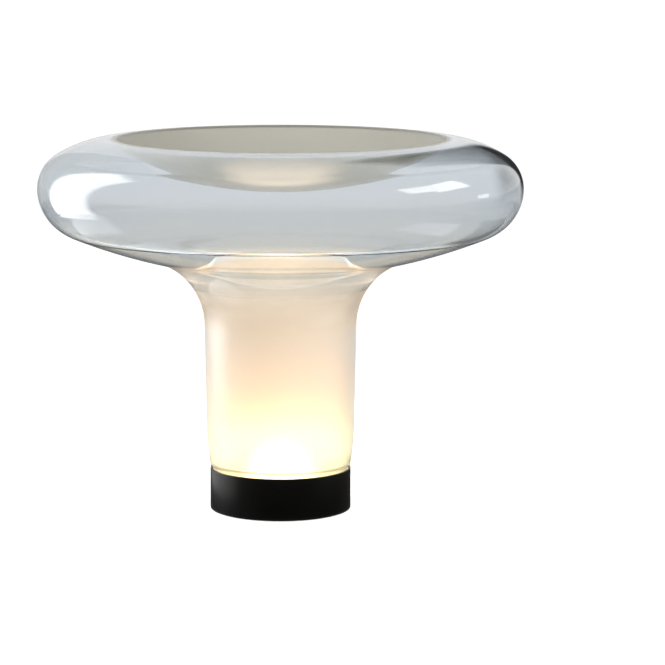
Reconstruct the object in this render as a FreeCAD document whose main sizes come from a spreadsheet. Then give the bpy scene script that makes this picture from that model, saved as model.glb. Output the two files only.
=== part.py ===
import FreeCAD, Part
import math
import os
import re

import Sketcher

# Mushroom table lamp: one blown glass head and stem that stands in a weighted metal base.
# Millimetres and degrees. +Z is up, the origin is the middle of the base on the table,
# the front is at -Y and the cord inlet at +Y.

os.makedirs("parts", exist_ok=True)
doc = FreeCAD.newDocument("MushroomLamp")

# Driving dimensions

SIZES = {
    # Blown glass, outside
    "overall_height": 336,  # crest of the glass above the table
    "head_diameter": 434,  # widest place of the head
    "crown_width": 70,  # from the widest place in to the crest
    "crown_arc": 104,  # radius of the flat top bend outside the crest
    "brow_arc": 34,  # radius of the tight bend down to the widest place
    "belly_arc": 43.5,  # radius of the bend under the widest place
    "underside_slope": 17.9,  # angle of the straight underside
    "funnel_arc": 61.7,  # radius of the trumpet bend into the stem
    "stem_swell": 3.1,  # how far the stem's waist stands out past the cup
    "waist_height": 78,  # where the stem starts to draw in towards the cup
    "stem_flare": 1.1,  # angle at which the stem widens upwards
    "foot_arc": 270,  # radius of the long curve that draws the stem in
    "dish_depth": 42.5,  # how deep the sunk top goes below the crest
    # Blown glass, wall and neck
    "glass_wall": 4,
    "rim_lip": 1.5,  # inside radius of the fold at the crest
    "shoulder_lip": 1,  # inside radius of the bend above the neck
    "neck_arc": 1.5,  # radius of the hollow bend just above the cup's rim
    "neck_rise": 0.5,  # straight neck above the cup's rim
    "glass_gap": 0.6,  # running clearance of the neck in the cup
    "polish_round": 0.8,  # fire-polished edge of the mouth
    # Metal cup
    "base_diameter": 127,
    "base_height": 38.5,
    "cup_wall": 1.8,
    "floor_gap": 0.8,  # the cup's lower edge stays off the table
    "cup_foot_round": 1.4,
    "cup_rim_round": 0.5,
    "ledge_thickness": 3,
    "ledge_width": 13,
    # Reflector deck and gasket
    "plate_gap": 0.3,  # drop-in clearance of round parts in the cup
    "deck_thickness": 1.5,
    "window_gap": 1.5,  # round the LED board in the deck's window
    "gasket_thickness": 1.5,
    "gasket_width": 5,
    # Opal dome
    "dome_gap": 1,  # round the LED board inside the dome
    "dome_sink": 1.5,  # how far the dome's centre lies under the deck's top
    "dome_wall": 2,
    "flange_width": 8,
    "flange_thickness": 2,
    # Heat sink
    "sink_radius": 41,
    "sink_plate": 3,
    "fin_drop": 7,
    "fin_thickness": 1.6,
    "fin_count": 24,
    "fin_root": 1,  # how far a fin reaches into the hub
    "fin_setback": 0.5,  # from the sink's edge in to a fin's end
    "sink_clearance": 1,  # from the driver lid up to the fins
    "hub_radius": 14,
    "hub_drop": 4,
    # Light source
    "pad_thickness": 0.5,
    "pad_inset": 0.5,
    "board_radius": 25,
    "board_thickness": 1.6,
    "led_length": 3.5,
    "led_width": 2.8,
    "led_height": 0.8,
    "outer_led_ring": 14,
    "outer_led_count": 12,
    "inner_led_ring": 6.5,
    "inner_led_count": 6,
    # Ballast ring
    "ballast_clearance": 4.8,  # from the driver case's corners out to the ring
    "ballast_edge": 1.2,
    "notch_width": 20,  # rear gap that lets the cord in
    "bore_depth": 12,  # counterbore of the ballast screws
    "tap_runout": 1.5,  # blind hole beyond a cover screw's end
    # Bottom cover and foot
    "cover_thickness": 2.5,
    "foot_thickness": 1.5,
    "foot_inset": 1.4,
    "foot_width": 6.5,
    # Driver case
    "case_length": 62,
    "case_width": 36,
    "case_forward": 6,  # how far the case sits towards the front
    "tray_height": 7.5,
    "lid_height": 4.5,
    "case_wall": 1.3,
    "case_round": 2,
    "post_radius": 4.2,
    "post_inset": 3.9,
    "rib_height": 1,
    "rib_thickness": 1.5,
    "rib_spacing": 30,
    "vent_length": 12,
    "vent_width": 1.6,
    "vent_spacing": 5,
    "vent_count": 4,
    # Driver board and what it carries
    "board_post_gap": 0.6,  # from the screw posts to the board's ends
    "board_wall_gap": 1.2,  # from the case's walls to the board's sides
    "driver_board_thickness": 1.6,
    "core_length": 16,
    "core_width": 13,
    "core_height": 5.8,
    "core_cheek": 3,
    "winding_inset": 1,
    "core_offset": 10,
    "capacitor_radius": 3,
    "capacitor_length": 15,
    "capacitor_offset": 6.5,
    "capacitor_spacing": 7.5,
    "can_round": 0.75,
    # Terminal block
    "block_length": 18,
    "block_width": 12,
    "block_height": 11,
    "block_setback": 30,
    "pole_spacing": 9,
    "clamp_spacing": 5.5,
    "clamp_depth": 4.5,
    "clamp_radius": 1.7,
    "clamp_height": 3.8,
    "entry_radius": 1.6,
    "entry_depth": 7,
    "entry_height": 4,
    "peg_radius": 1.5,
    "peg_length": 1.8,
    # Cord inlet
    "inlet_height": 14,
    "inlet_hole": 5,
    "inlet_bore": 3.5,
    "grommet_radius": 6.6,
    "grommet_flange": 1.7,
    "grommet_inside": 2,
    "cut_margin": 1,  # how far a cutting shape stands past what it cuts
    # Screws: shank radius, head radius and head height
    "small_shank": 1.25,
    "small_head": 2.25,
    "small_head_height": 1.5,
    "screw_shank": 1.5,
    "screw_head": 2.75,
    "screw_head_height": 1.8,
    "large_shank": 2,
    "large_head": 3.5,
    "large_head_height": 1.4,
    "hole_gap": 0.1,  # how much wider a screw hole is than its shank
    "head_gap": 0.2,  # how much wider a counterbore is than its head
    "screw_count": 3,
    "socket_share": 0.5,  # radius of a screw's socket, as a share of its head
    "socket_depth_share": 0.6,
    "screw_end": 0.5,  # how far a screw stops short of the far side
    "board_screw_gap": 4.1,  # from the outer LEDs to a screw's middle
    "dome_screw_inset": 3.7,  # from the edge of the dome's flange
    "deck_screw_inset": 4.1,  # from the gasket's inner edge
    "ballast_screw_inset": 5.7,  # from the cup's bore
    "cover_screw_inset": 5,  # from the ballast ring's bore
    "cover_screw_length": 9,
    "case_head_sink": 2,
    # Wires
    "lead_radius": 0.75,
    "lead_pitch": 1.9,
    "lead_hole": 2.2,
    "lead_inset": 4,  # from the LED board's edge in to where the leads come up
    "lead_reach": 5.5,  # how far past the driver case the leads rise
    "lead_start": 5,  # above the bottom cover
    "lead_drop": 3.5,  # from the sink's plate down to where they run between the fins
    "mains_radius": 1,
    "mains_level": 4,
    "mains_shift": 2,
    "mains_straight": 3,
}

sheet = doc.addObject("Spreadsheet::Sheet", "Sizes")
for row, (alias, size) in enumerate(SIZES.items(), start=1):
    sheet.set(f"A{row}", alias.replace("_", " "))
    sheet.set(f"B{row}", str(size))
    sheet.setAlias(f"B{row}", alias)
doc.recompute()

# Places that several pieces share, worked out from the sizes

BASE_RADIUS = "(base_diameter / 2)"
CUP_BORE = f"({BASE_RADIUS} - cup_wall)"
PLATE_RADIUS = f"({CUP_BORE} - plate_gap)"
COVER_TOP = "(foot_thickness + cover_thickness)"
LID_BOTTOM = f"({COVER_TOP} + tray_height)"
LID_TOP = f"({LID_BOTTOM} + lid_height)"
SINK_UNDER = f"({LID_TOP} + sink_clearance + fin_drop)"
LEDGE_TOP = f"({SINK_UNDER} + sink_plate)"
LEDGE_UNDER = f"({LEDGE_TOP} - ledge_thickness)"
DECK_TOP = f"({LEDGE_TOP} + deck_thickness)"
GLASS_SEAT = f"({DECK_TOP} + gasket_thickness)"
NECK_RADIUS = f"({CUP_BORE} - glass_gap)"
WINDOW_RADIUS = "(board_radius + window_gap)"
DOME_HOLLOW = "(board_radius + dome_gap)"
DOME_RADIUS = f"({DOME_HOLLOW} + dome_wall)"
DOME_CENTRE = f"({DECK_TOP} - dome_sink)"
FLANGE_RADIUS = f"({DOME_RADIUS} + flange_width)"
FLANGE_TOP = f"({DECK_TOP} + flange_thickness)"
BOARD_UNDER = f"({LEDGE_TOP} + pad_thickness)"
BOARD_TOP = f"({BOARD_UNDER} + board_thickness)"
CASE_FLOOR = f"({COVER_TOP} + case_wall)"
CASE_REAR = "(case_width / 2 - case_forward)"
POST_X = "(case_length / 2 - case_wall - post_inset)"
POST_Y = "(case_width / 2 - case_wall - post_inset)"
DRIVER_BOARD_END = f"({POST_X} - post_radius - board_post_gap)"
DRIVER_BOARD_SIDE = "(case_width / 2 - case_wall - board_wall_gap)"
DRIVER_BOARD_TOP = f"({CASE_FLOOR} + rib_height + driver_board_thickness)"
BALLAST_BORE = "(hypot(case_length / 2; case_width / 2 + case_forward) + ballast_clearance)"
BLOCK_TOP = f"({COVER_TOP} + block_height)"
BLOCK_FRONT = "(block_setback - block_width / 2)"
BLOCK_REAR = "(block_setback + block_width / 2)"
LEAD_RING = "(board_radius - lead_inset)"

# Screw holes, and where each ring of screws sits, what it rests on and how long its shanks are

SMALL_HOLE = "(small_shank + hole_gap)"
SCREW_HOLE = "(screw_shank + hole_gap)"
LARGE_HOLE = "(large_shank + hole_gap)"
BOARD_SCREW_RING = "(outer_led_ring + led_width / 2 + board_screw_gap)"
BOARD_SCREW_LENGTH = "(board_thickness + pad_thickness + sink_plate - screw_end)"
DOME_SCREW_RING = f"({FLANGE_RADIUS} - dome_screw_inset)"
DOME_SCREW_LENGTH = "(flange_thickness + deck_thickness + sink_plate - screw_end)"
DECK_SCREW_RING = f"({PLATE_RADIUS} - gasket_width - deck_screw_inset)"
DECK_SCREW_LENGTH = "(deck_thickness + ledge_thickness - screw_end)"
BALLAST_SCREW_RING = f"({CUP_BORE} - ballast_screw_inset)"
BALLAST_SCREW_SEAT = f"({COVER_TOP} + bore_depth)"
BALLAST_SCREW_LENGTH = f"({LEDGE_TOP} - screw_end - {BALLAST_SCREW_SEAT})"
COVER_SCREW_RING = f"({BALLAST_BORE} + cover_screw_inset)"
COVER_SCREW_SEAT = "(foot_thickness + large_head_height + hole_gap)"
TAPPED_DEPTH = f"({COVER_SCREW_SEAT} + cover_screw_length + tap_runout - {COVER_TOP})"
CASE_SCREW_SEAT = f"({LID_TOP} - case_head_sink)"
CASE_SCREW_LENGTH = f"({CASE_SCREW_SEAT} - foot_thickness - screw_end)"

# First screw of each ring. The cord notch is at 90 degrees, and no ring has a screw there.
DECK_SCREW_ANGLE = "-90"
BALLAST_SCREW_ANGLE = "0"
COVER_SCREW_ANGLE = "-60"
DOME_SCREW_ANGLE = "30"
BOARD_SCREW_ANGLE = "60"


def with_sheet(expression):
    """The expression with each size's name led by the sheet's, as the document writes it."""

    def lead(word):
        return f"Sizes.{word[0]}" if word[0] in SIZES else word[0]

    return re.sub(r"[a-z][a-z_]+", lead, expression)


def number(expression):
    """What an expression of sizes comes to now."""
    value = sheet.evalExpression(with_sheet(expression))
    return getattr(value, "Value", value)


def tie(thing, prop, expression):
    """Bind a property to the sheet."""
    thing.setExpression(prop, with_sheet(expression))


# Sketches and features

START, END, CENTRE = range(1, 4)
H_AXIS, V_AXIS = range(-1, -3, -1)
ORIGIN = (H_AXIS, START)
SAME = 1e-4  # two lengths closer than this are the same


def origin_part(body, role):
    return next(item for item in body.Origin.OriginFeatures if item.Role == role)


def new_body(label):
    body = doc.addObject("PartDesign::Body", label)
    body.Label = label
    return body


class Outline:
    """A sketch on one of its body's own planes, with every size tied to the sheet."""

    def __init__(self, body, name, role="XZ_Plane", height=None):
        self.body = body
        self.edges = []
        self.rules = []
        self.ties = {}
        self.sketch = body.newObject("Sketcher::SketchObject", name)
        self.sketch.AttachmentSupport = [(origin_part(body, role), "")]
        self.sketch.MapMode = "FlatFace"
        if height is not None:
            tie(self.sketch, "AttachmentOffset.Base.z", height)

    def edge(self, shape):
        self.edges.append(shape)
        return len(self.edges) - 1

    def line(self, start, end):
        return self.edge(Part.LineSegment(FreeCAD.Vector(*start, 0), FreeCAD.Vector(*end, 0)))

    def arc(self, centre, radius, low, high):
        circle = Part.Circle(FreeCAD.Vector(*centre, 0), FreeCAD.Vector(0, 0, 1), radius)
        return self.edge(Part.ArcOfCircle(circle, math.radians(low), math.radians(high)))

    def rule(self, kind, *where):
        self.rules.append(Sketcher.Constraint(kind, *where))

    def size(self, kind, *where_and_expression):
        """A rule whose last argument is an expression of sizes."""
        *where, expression = where_and_expression
        self.ties[len(self.rules)] = with_sheet(expression)
        self.rule(kind, *where, number(expression))

    def place(self, item, point, across, along):
        """Hold a point at two distances from the origin, either of which may be None for zero."""
        for kind, axis, expression in (("DistanceX", V_AXIS, across), ("DistanceY", H_AXIS, along)):
            if expression is None:
                self.rule("PointOnObject", item, point, axis)
            else:
                self.size(kind, *ORIGIN, item, point, expression)

    def polygon(self, corners):
        """A closed run of straight lines through corners given as pairs of expressions."""
        spots = [tuple(number(side) for side in corner) for corner in corners]
        sides = [self.line(spot, spots[(i + 1) % len(spots)]) for i, spot in enumerate(spots)]
        for i, side in enumerate(sides):
            self.rule("Coincident", side, END, sides[(i + 1) % len(sides)], START)
            self.place(side, START, *corners[i])

    def box(self, left, right, front, rear):
        self.polygon([(left, front), (right, front), (right, rear), (left, rear)])

    def circle(self, across, along, radius):
        spot = FreeCAD.Vector(*(0 if side is None else number(side) for side in (across, along)), 0)
        ring = self.edge(Part.Circle(spot, FreeCAD.Vector(0, 0, 1), number(radius)))
        self.size("Radius", ring, radius)
        self.place(ring, CENTRE, across, along)

    def hexagon(self, across, along, radius):
        corners = []
        for k in range(6):
            turn = 60 * k
            corners.append((f"{across} + ({radius}) * cos({turn})", f"{along} + ({radius}) * sin({turn})"))
        self.polygon(corners)

    def draw(self):
        """Put the edges, rules and sizes into the sketch."""
        self.sketch.addGeometry(self.edges, False)
        self.sketch.addConstraint(self.rules)
        for index, expression in self.ties.items():
            self.sketch.setExpression(f"Constraints[{index}]", expression)
        doc.recompute()
        if not self.sketch.FullyConstrained:
            raise RuntimeError(f"{self.sketch.Name} is not held by its sizes")


def revolve(outline, name):
    """Turn an outline about the body's upright axis."""
    outline.draw()
    feature = outline.body.newObject("PartDesign::Revolution", name)
    feature.Profile = outline.sketch
    feature.ReferenceAxis = (outline.sketch, ["V_Axis"])
    feature.Angle = 360
    doc.recompute()


def pad(outline, name, length, down=False):
    outline.draw()
    feature = outline.body.newObject("PartDesign::Pad", name)
    feature.Profile = outline.sketch
    feature.Reversed = down
    tie(feature, "Length", length)
    doc.recompute()
    return feature


def cut(outline, name, length, up=False):
    """A pocket that runs down from its sketch, or up."""
    outline.draw()
    before = outline.body.Shape.Volume
    feature = outline.body.newObject("PartDesign::Pocket", name)
    feature.Profile = outline.sketch
    feature.Reversed = up
    tie(feature, "Length", length)
    doc.recompute()
    if feature.Shape.Volume > before - SAME:
        raise RuntimeError(f"{name} cuts nothing")
    return feature


def repeat(body, features, name, count):
    """Copy features round the body's upright axis."""
    pattern = body.newObject("PartDesign::PolarPattern", name)
    pattern.Originals = features
    pattern.Axis = (origin_part(body, "Z_Axis"), [""])
    pattern.Angle = 360
    tie(pattern, "Occurrences", count)
    body.Tip = pattern
    doc.recompute()


def ring_spot(ring, angle):
    return f"{ring} * cos({angle})", f"{ring} * sin({angle})"


def screw_holes(body, name, ring, angle, height, length, radius, up=False):
    """Round holes on a circle about the upright axis."""
    outline = Outline(body, f"{name}Sketch", "XY_Plane", height)
    outline.circle(*ring_spot(ring, angle), radius)
    hole = cut(outline, f"{name}Hole", length, up)
    repeat(body, [hole], f"{name}Ring", "screw_count")


def round_edges(body, name, chosen, radius, kind="PartDesign::Fillet", prop="Radius"):
    """Round or bevel the edges that a test picks out of the body as it stands."""
    edges = [f"Edge{i + 1}" for i, edge in enumerate(body.Shape.Edges) if chosen(edge)]
    if not edges:
        raise RuntimeError(f"{name} finds no edge")
    base = body.Tip
    feature = body.newObject(kind, name)
    feature.Base = (base, edges)
    tie(feature, prop, radius)
    doc.recompute()


def is_circle(edge, radius, height):
    """Whether an edge is the circle about the upright axis with that radius and height."""
    if edge.Degenerated or not isinstance(edge.Curve, Part.Circle):
        return False
    curve = edge.Curve
    off_axis = math.hypot(curve.Center.x, curve.Center.y)
    misses = (off_axis, curve.Radius - number(radius), curve.Center.z - number(height))
    return all(abs(miss) < SAME for miss in misses)


def screws(label, ring, angle, seat, shank, length, head, head_height, from_below=False):
    """A ring of socket-head screws, each a solid of its own."""
    body = new_body(label)
    spot = ring_spot(ring, angle)
    head_sketch = Outline(body, f"{label}HeadSketch", "XY_Plane", seat)
    head_sketch.circle(*spot, head)
    top = pad(head_sketch, f"{label}Head", head_height, down=from_below)
    shank_sketch = Outline(body, f"{label}ShankSketch", "XY_Plane", seat)
    shank_sketch.circle(*spot, shank)
    stem = pad(shank_sketch, f"{label}Shank", length, down=not from_below)
    face = f"{seat} - {head_height}" if from_below else f"{seat} + {head_height}"
    socket_sketch = Outline(body, f"{label}SocketSketch", "XY_Plane", face)
    socket_sketch.hexagon(*spot, f"{head} * socket_share")
    socket = cut(socket_sketch, f"{label}Socket", f"{head_height} * socket_depth_share", up=from_below)
    repeat(body, [top, stem, socket], f"{label}Ring", "screw_count")


# Blown glass: clear ring-shaped head with a sunk top, and the hollow stem under it

def crest_slope(lip, crest, depth):
    """Angle at which the dish leaves the rim, so that its one arc reaches the wanted depth."""
    low = 1.0
    high = 80.0
    for _ in range(60):
        middle = (low + high) / 2
        turn = math.radians(middle)
        reach = lip * (1 - math.cos(turn)) + (crest - lip * math.sin(turn)) * math.tan(turn / 2)
        if reach < depth:
            low = middle
        else:
            high = middle
    return low


def circle_meeting(first, first_radius, second, second_radius):
    """The point with the two given distances from two points, right of the way from first to second."""
    gap = math.dist(first, second)
    along = (first_radius ** 2 - second_radius ** 2 + gap ** 2) / (2 * gap)
    off = math.sqrt(first_radius ** 2 - along ** 2)
    unit = ((second[0] - first[0]) / gap, (second[1] - first[1]) / gap)
    return (first[0] + along * unit[0] + off * unit[1], first[1] + along * unit[1] - off * unit[0])


def bearing(centre, point):
    return math.degrees(math.atan2(point[1] - centre[1], point[0] - centre[0]))


def along_bearing(centre, radius, angle):
    turn = math.radians(angle)
    return (centre[0] + radius * math.cos(turn), centre[1] + radius * math.sin(turn))


def make_glass():
    body = new_body("glass_shade")
    outline = Outline(body, "GlassProfile")
    wall = number("glass_wall")
    height = number("overall_height")
    widest = number("head_diameter / 2")
    crest = number("head_diameter / 2 - crown_width")
    crown = number("crown_arc")
    brow = number("brow_arc")
    belly = number("belly_arc")
    slope = number("underside_slope")
    funnel = number("funnel_arc")
    flare = number("stem_flare")
    foot = number("foot_arc")
    rim = number("glass_wall + rim_lip")
    shoulder = number("glass_wall + shoulder_lip")
    hollow = number("neck_arc")
    waist = (number(f"{BASE_RADIUS} + stem_swell"), number("waist_height"))
    neck = number(NECK_RADIUS)
    seat = number(GLASS_SEAT)

    # Centres and tangent angles of the outer arcs, from the dish round the crest and down to the neck
    dish_turn = crest_slope(rim, crest, number("dish_depth"))
    dish = (crest - rim * math.sin(math.radians(dish_turn))) / math.sin(math.radians(dish_turn))
    dish_centre = (0, height - number("dish_depth") + dish)
    rim_centre = (crest, height - rim)
    crown_centre = (crest, height - crown)
    crown_turn = math.degrees(math.asin((widest - crest - brow) / (crown - brow)))
    brow_centre = (widest - brow, crown_centre[1] + (crown - brow) * math.cos(math.radians(crown_turn)))
    belly_centre = (widest - belly, brow_centre[1])
    belly_end = along_bearing(belly_centre, belly, slope - 90)
    down = along_bearing((0, 0), 1, slope - 90)
    out = along_bearing((0, 0), 1, -flare)
    down_reach = funnel + down[0] * belly_end[0] + down[1] * belly_end[1]
    out_reach = funnel + out[0] * waist[0] + out[1] * waist[1]
    spread = down[0] * out[1] - down[1] * out[0]
    funnel_centre = (
        (down_reach * out[1] - out_reach * down[1]) / spread,
        (down[0] * out_reach - out[0] * down_reach) / spread,
    )
    funnel_start = along_bearing(funnel_centre, funnel, slope + 90)
    funnel_end = along_bearing(funnel_centre, funnel, 180 - flare)
    foot_centre = along_bearing(waist, foot, 180 - flare)
    hollow_centre = (neck + hollow, number("base_height + neck_rise"))
    shoulder_centre = circle_meeting(hollow_centre, hollow + shoulder, foot_centre, foot - shoulder)
    foot_low = bearing(foot_centre, shoulder_centre)
    bend = bearing(hollow_centre, shoulder_centre)

    def skin(inset):
        """One face of the wall, inset from the outer one, from the mouth up to the dish."""
        inner_waist = along_bearing(waist, inset, 180 - flare)
        inner_belly_end = along_bearing(belly_end, inset, slope + 90)
        edges = {
            "neck": outline.line((neck - inset, seat), (neck - inset, hollow_centre[1])),
            "neck_bend": outline.arc(hollow_centre, hollow + inset, bend, 180),
            "shoulder": outline.arc(shoulder_centre, shoulder - inset, bend - 180, foot_low),
            "foot": outline.arc(foot_centre, foot - inset, foot_low, -flare),
            "stem": outline.line(inner_waist, along_bearing(funnel_end, inset, 180 - flare)),
            "trumpet": outline.arc(funnel_centre, funnel + inset, slope + 90, 180 - flare),
            "underside": outline.line(along_bearing(funnel_start, inset, slope + 90), inner_belly_end),
            "belly": outline.arc(belly_centre, belly - inset, slope - 90, 0),
            "brow": outline.arc(brow_centre, brow - inset, 0, 90 - crown_turn),
            "crown": outline.arc(crown_centre, crown - inset, 90 - crown_turn, 90),
            "rim": outline.arc(rim_centre, rim - inset, 90, 90 + dish_turn),
            "dish": outline.arc(dish_centre, dish + inset, -90, dish_turn - 90),
        }
        smooth = (
            ("neck", END, "neck_bend", END),
            ("neck_bend", START, "shoulder", START),
            ("shoulder", END, "foot", START),
            ("foot", END, "stem", START),
            ("stem", END, "trumpet", END),
            ("trumpet", START, "underside", START),
            ("underside", END, "belly", START),
            ("belly", END, "brow", START),
            ("brow", END, "crown", START),
            ("crown", END, "rim", START),
            ("rim", END, "dish", END),
        )
        for first, first_end, second, second_end in smooth:
            outline.rule("Tangent", edges[first], first_end, edges[second], second_end)
        outline.rule("Vertical", edges["neck"])
        return edges

    outer = skin(0)
    inner = skin(wall)
    mouth = outline.line((neck - wall, seat), (neck, seat))
    middle = outline.line((0, dish_centre[1] - dish - wall), (0, dish_centre[1] - dish))

    radii = {
        "neck_bend": "neck_arc",
        "shoulder": "glass_wall + shoulder_lip",
        "foot": "foot_arc",
        "trumpet": "funnel_arc",
        "belly": "belly_arc",
        "brow": "brow_arc",
        "crown": "crown_arc",
        "rim": "glass_wall + rim_lip",
    }
    for name, radius in radii.items():
        outline.size("Radius", outer[name], radius)
    outline.place(outer["neck"], START, NECK_RADIUS, GLASS_SEAT)
    outline.size("DistanceY", *ORIGIN, outer["neck_bend"], CENTRE, "base_height + neck_rise")
    outline.place(outer["stem"], START, f"{BASE_RADIUS} + stem_swell", "waist_height")
    outline.size("Angle", outer["stem"], "90 - stem_flare")
    outline.size("Angle", outer["underside"], "underside_slope")
    outline.size("DistanceX", *ORIGIN, outer["belly"], END, "head_diameter / 2")
    outline.rule("Horizontal", outer["belly"], CENTRE, outer["belly"], END)
    outline.place(outer["rim"], START, "head_diameter / 2 - crown_width", "overall_height")
    outline.size("DistanceX", *ORIGIN, outer["crown"], CENTRE, "head_diameter / 2 - crown_width")
    outline.place(outer["dish"], START, None, "overall_height - dish_depth")
    outline.rule("PointOnObject", outer["dish"], CENTRE, V_AXIS)
    outline.rule("Coincident", mouth, START, inner["neck"], START)
    outline.rule("Coincident", mouth, END, outer["neck"], START)
    outline.rule("Horizontal", mouth)
    outline.size("DistanceX", mouth, START, mouth, END, "glass_wall")
    outline.rule("Coincident", middle, START, inner["dish"], START)
    outline.rule("Coincident", middle, END, outer["dish"], START)
    outline.rule("PointOnObject", inner["dish"], START, V_AXIS)
    for name in (*radii, "dish"):
        outline.rule("Coincident", inner[name], CENTRE, outer[name], CENTRE)
    for name in ("stem", "underside"):
        outline.rule("Parallel", inner[name], outer[name])
    revolve(outline, "BlownGlass")
    mouth_edges = (NECK_RADIUS, f"{NECK_RADIUS} - glass_wall")
    round_edges(
        body,
        "FirePolish",
        lambda edge: any(is_circle(edge, radius, GLASS_SEAT) for radius in mouth_edges),
        "polish_round",
    )


# Turned metal cup with an inner ledge and the hole of the cord inlet

def make_cup():
    body = new_body("base_cup")
    profile = Outline(body, "CupProfile")
    ledge = f"{CUP_BORE} - ledge_width"
    profile.polygon([
        (BASE_RADIUS, "floor_gap"),
        (BASE_RADIUS, "base_height"),
        (CUP_BORE, "base_height"),
        (CUP_BORE, LEDGE_TOP),
        (ledge, LEDGE_TOP),
        (ledge, LEDGE_UNDER),
        (CUP_BORE, LEDGE_UNDER),
        (CUP_BORE, "floor_gap"),
    ])
    revolve(profile, "TurnedCup")
    inlet = Outline(body, "InletSketch", "XZ_Plane")
    inlet.circle(None, "inlet_height", "inlet_hole")
    cut(inlet, "InletHole", "base_diameter")
    deep = "ledge_thickness + hole_gap"
    screw_holes(body, "DeckTap", DECK_SCREW_RING, DECK_SCREW_ANGLE, LEDGE_TOP, deep, SCREW_HOLE)
    screw_holes(body, "BallastTap", BALLAST_SCREW_RING, BALLAST_SCREW_ANGLE, LEDGE_TOP, deep, SCREW_HOLE)
    round_edges(body, "FootRound", lambda edge: is_circle(edge, BASE_RADIUS, "floor_gap"), "cup_foot_round")
    round_edges(body, "RimRound", lambda edge: is_circle(edge, BASE_RADIUS, "base_height"), "cup_rim_round")
    round_edges(
        body,
        "RimBevel",
        lambda edge: is_circle(edge, CUP_BORE, "base_height"),
        "cup_rim_round",
        "PartDesign::Chamfer",
        "Size",
    )


# Flat rings: gasket, reflector deck, bottom cover, foot pad, thermal pad and the LED board

def ring_body(label, outer, inner, bottom, thickness):
    """A flat disc, with a hole in the middle where inner is given."""
    body = new_body(label)
    sketch = Outline(body, f"{label}Sketch", "XY_Plane", bottom)
    sketch.circle(None, None, outer)
    if inner is not None:
        sketch.circle(None, None, inner)
    pad(sketch, f"{label}Disc", thickness)
    return body


def make_deck():
    ring_body("seat_gasket", PLATE_RADIUS, f"{PLATE_RADIUS} - gasket_width", DECK_TOP, "gasket_thickness")
    deck = ring_body("deck_plate", PLATE_RADIUS, WINDOW_RADIUS, LEDGE_TOP, "deck_thickness")
    deep = "deck_thickness + hole_gap"
    screw_holes(deck, "DeckScrew", DECK_SCREW_RING, DECK_SCREW_ANGLE, DECK_TOP, deep, SCREW_HOLE)
    screw_holes(deck, "DomeScrew", DOME_SCREW_RING, DOME_SCREW_ANGLE, DECK_TOP, deep, SMALL_HOLE)
    screws(
        "deck_screws", DECK_SCREW_RING, DECK_SCREW_ANGLE, DECK_TOP, "screw_shank", DECK_SCREW_LENGTH,
        "screw_head", "screw_head_height",
    )


# Opal dome over the light source

def make_dome():
    body = new_body("led_dome")
    profile = Outline(body, "DomeProfile")
    outer = number(DOME_RADIUS)
    inner = number(DOME_HOLLOW)
    bottom = number(DECK_TOP)
    top = number(FLANGE_TOP)
    centre = (0, number(DOME_CENTRE))
    flange = number(FLANGE_RADIUS)
    outer_turn = math.degrees(math.asin((top - centre[1]) / outer))
    inner_turn = math.degrees(math.asin((bottom - centre[1]) / inner))
    outer_foot = along_bearing(centre, outer, outer_turn)
    inner_foot = along_bearing(centre, inner, inner_turn)
    shell = profile.arc(centre, outer, outer_turn, 90)
    hollow = profile.arc(centre, inner, inner_turn, 90)
    crown = profile.line((0, centre[1] + inner), (0, centre[1] + outer))
    under = profile.line(inner_foot, (flange, bottom))
    side = profile.line((flange, bottom), (flange, top))
    over = profile.line((flange, top), outer_foot)
    for joint in (
        (crown, START, hollow, END), (crown, END, shell, END), (under, START, hollow, START),
        (under, END, side, START), (side, END, over, START), (over, END, shell, START),
        (shell, CENTRE, hollow, CENTRE),
    ):
        profile.rule("Coincident", *joint)
    profile.size("Radius", shell, DOME_RADIUS)
    profile.size("Radius", hollow, DOME_HOLLOW)
    profile.place(shell, CENTRE, None, DOME_CENTRE)
    profile.rule("Vertical", crown)
    profile.rule("PointOnObject", shell, END, V_AXIS)
    profile.rule("Horizontal", under)
    profile.rule("Vertical", side)
    profile.rule("Horizontal", over)
    profile.place(side, START, FLANGE_RADIUS, DECK_TOP)
    profile.size("DistanceY", side, START, side, END, "flange_thickness")
    revolve(profile, "OpalDome")
    screw_holes(
        body, "DomeScrew", DOME_SCREW_RING, DOME_SCREW_ANGLE, FLANGE_TOP, "flange_thickness + hole_gap",
        SMALL_HOLE,
    )
    screws(
        "dome_screws", DOME_SCREW_RING, DOME_SCREW_ANGLE, FLANGE_TOP, "small_shank", DOME_SCREW_LENGTH,
        "small_head", "small_head_height",
    )


# Finned heat sink that hangs under the deck

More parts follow.
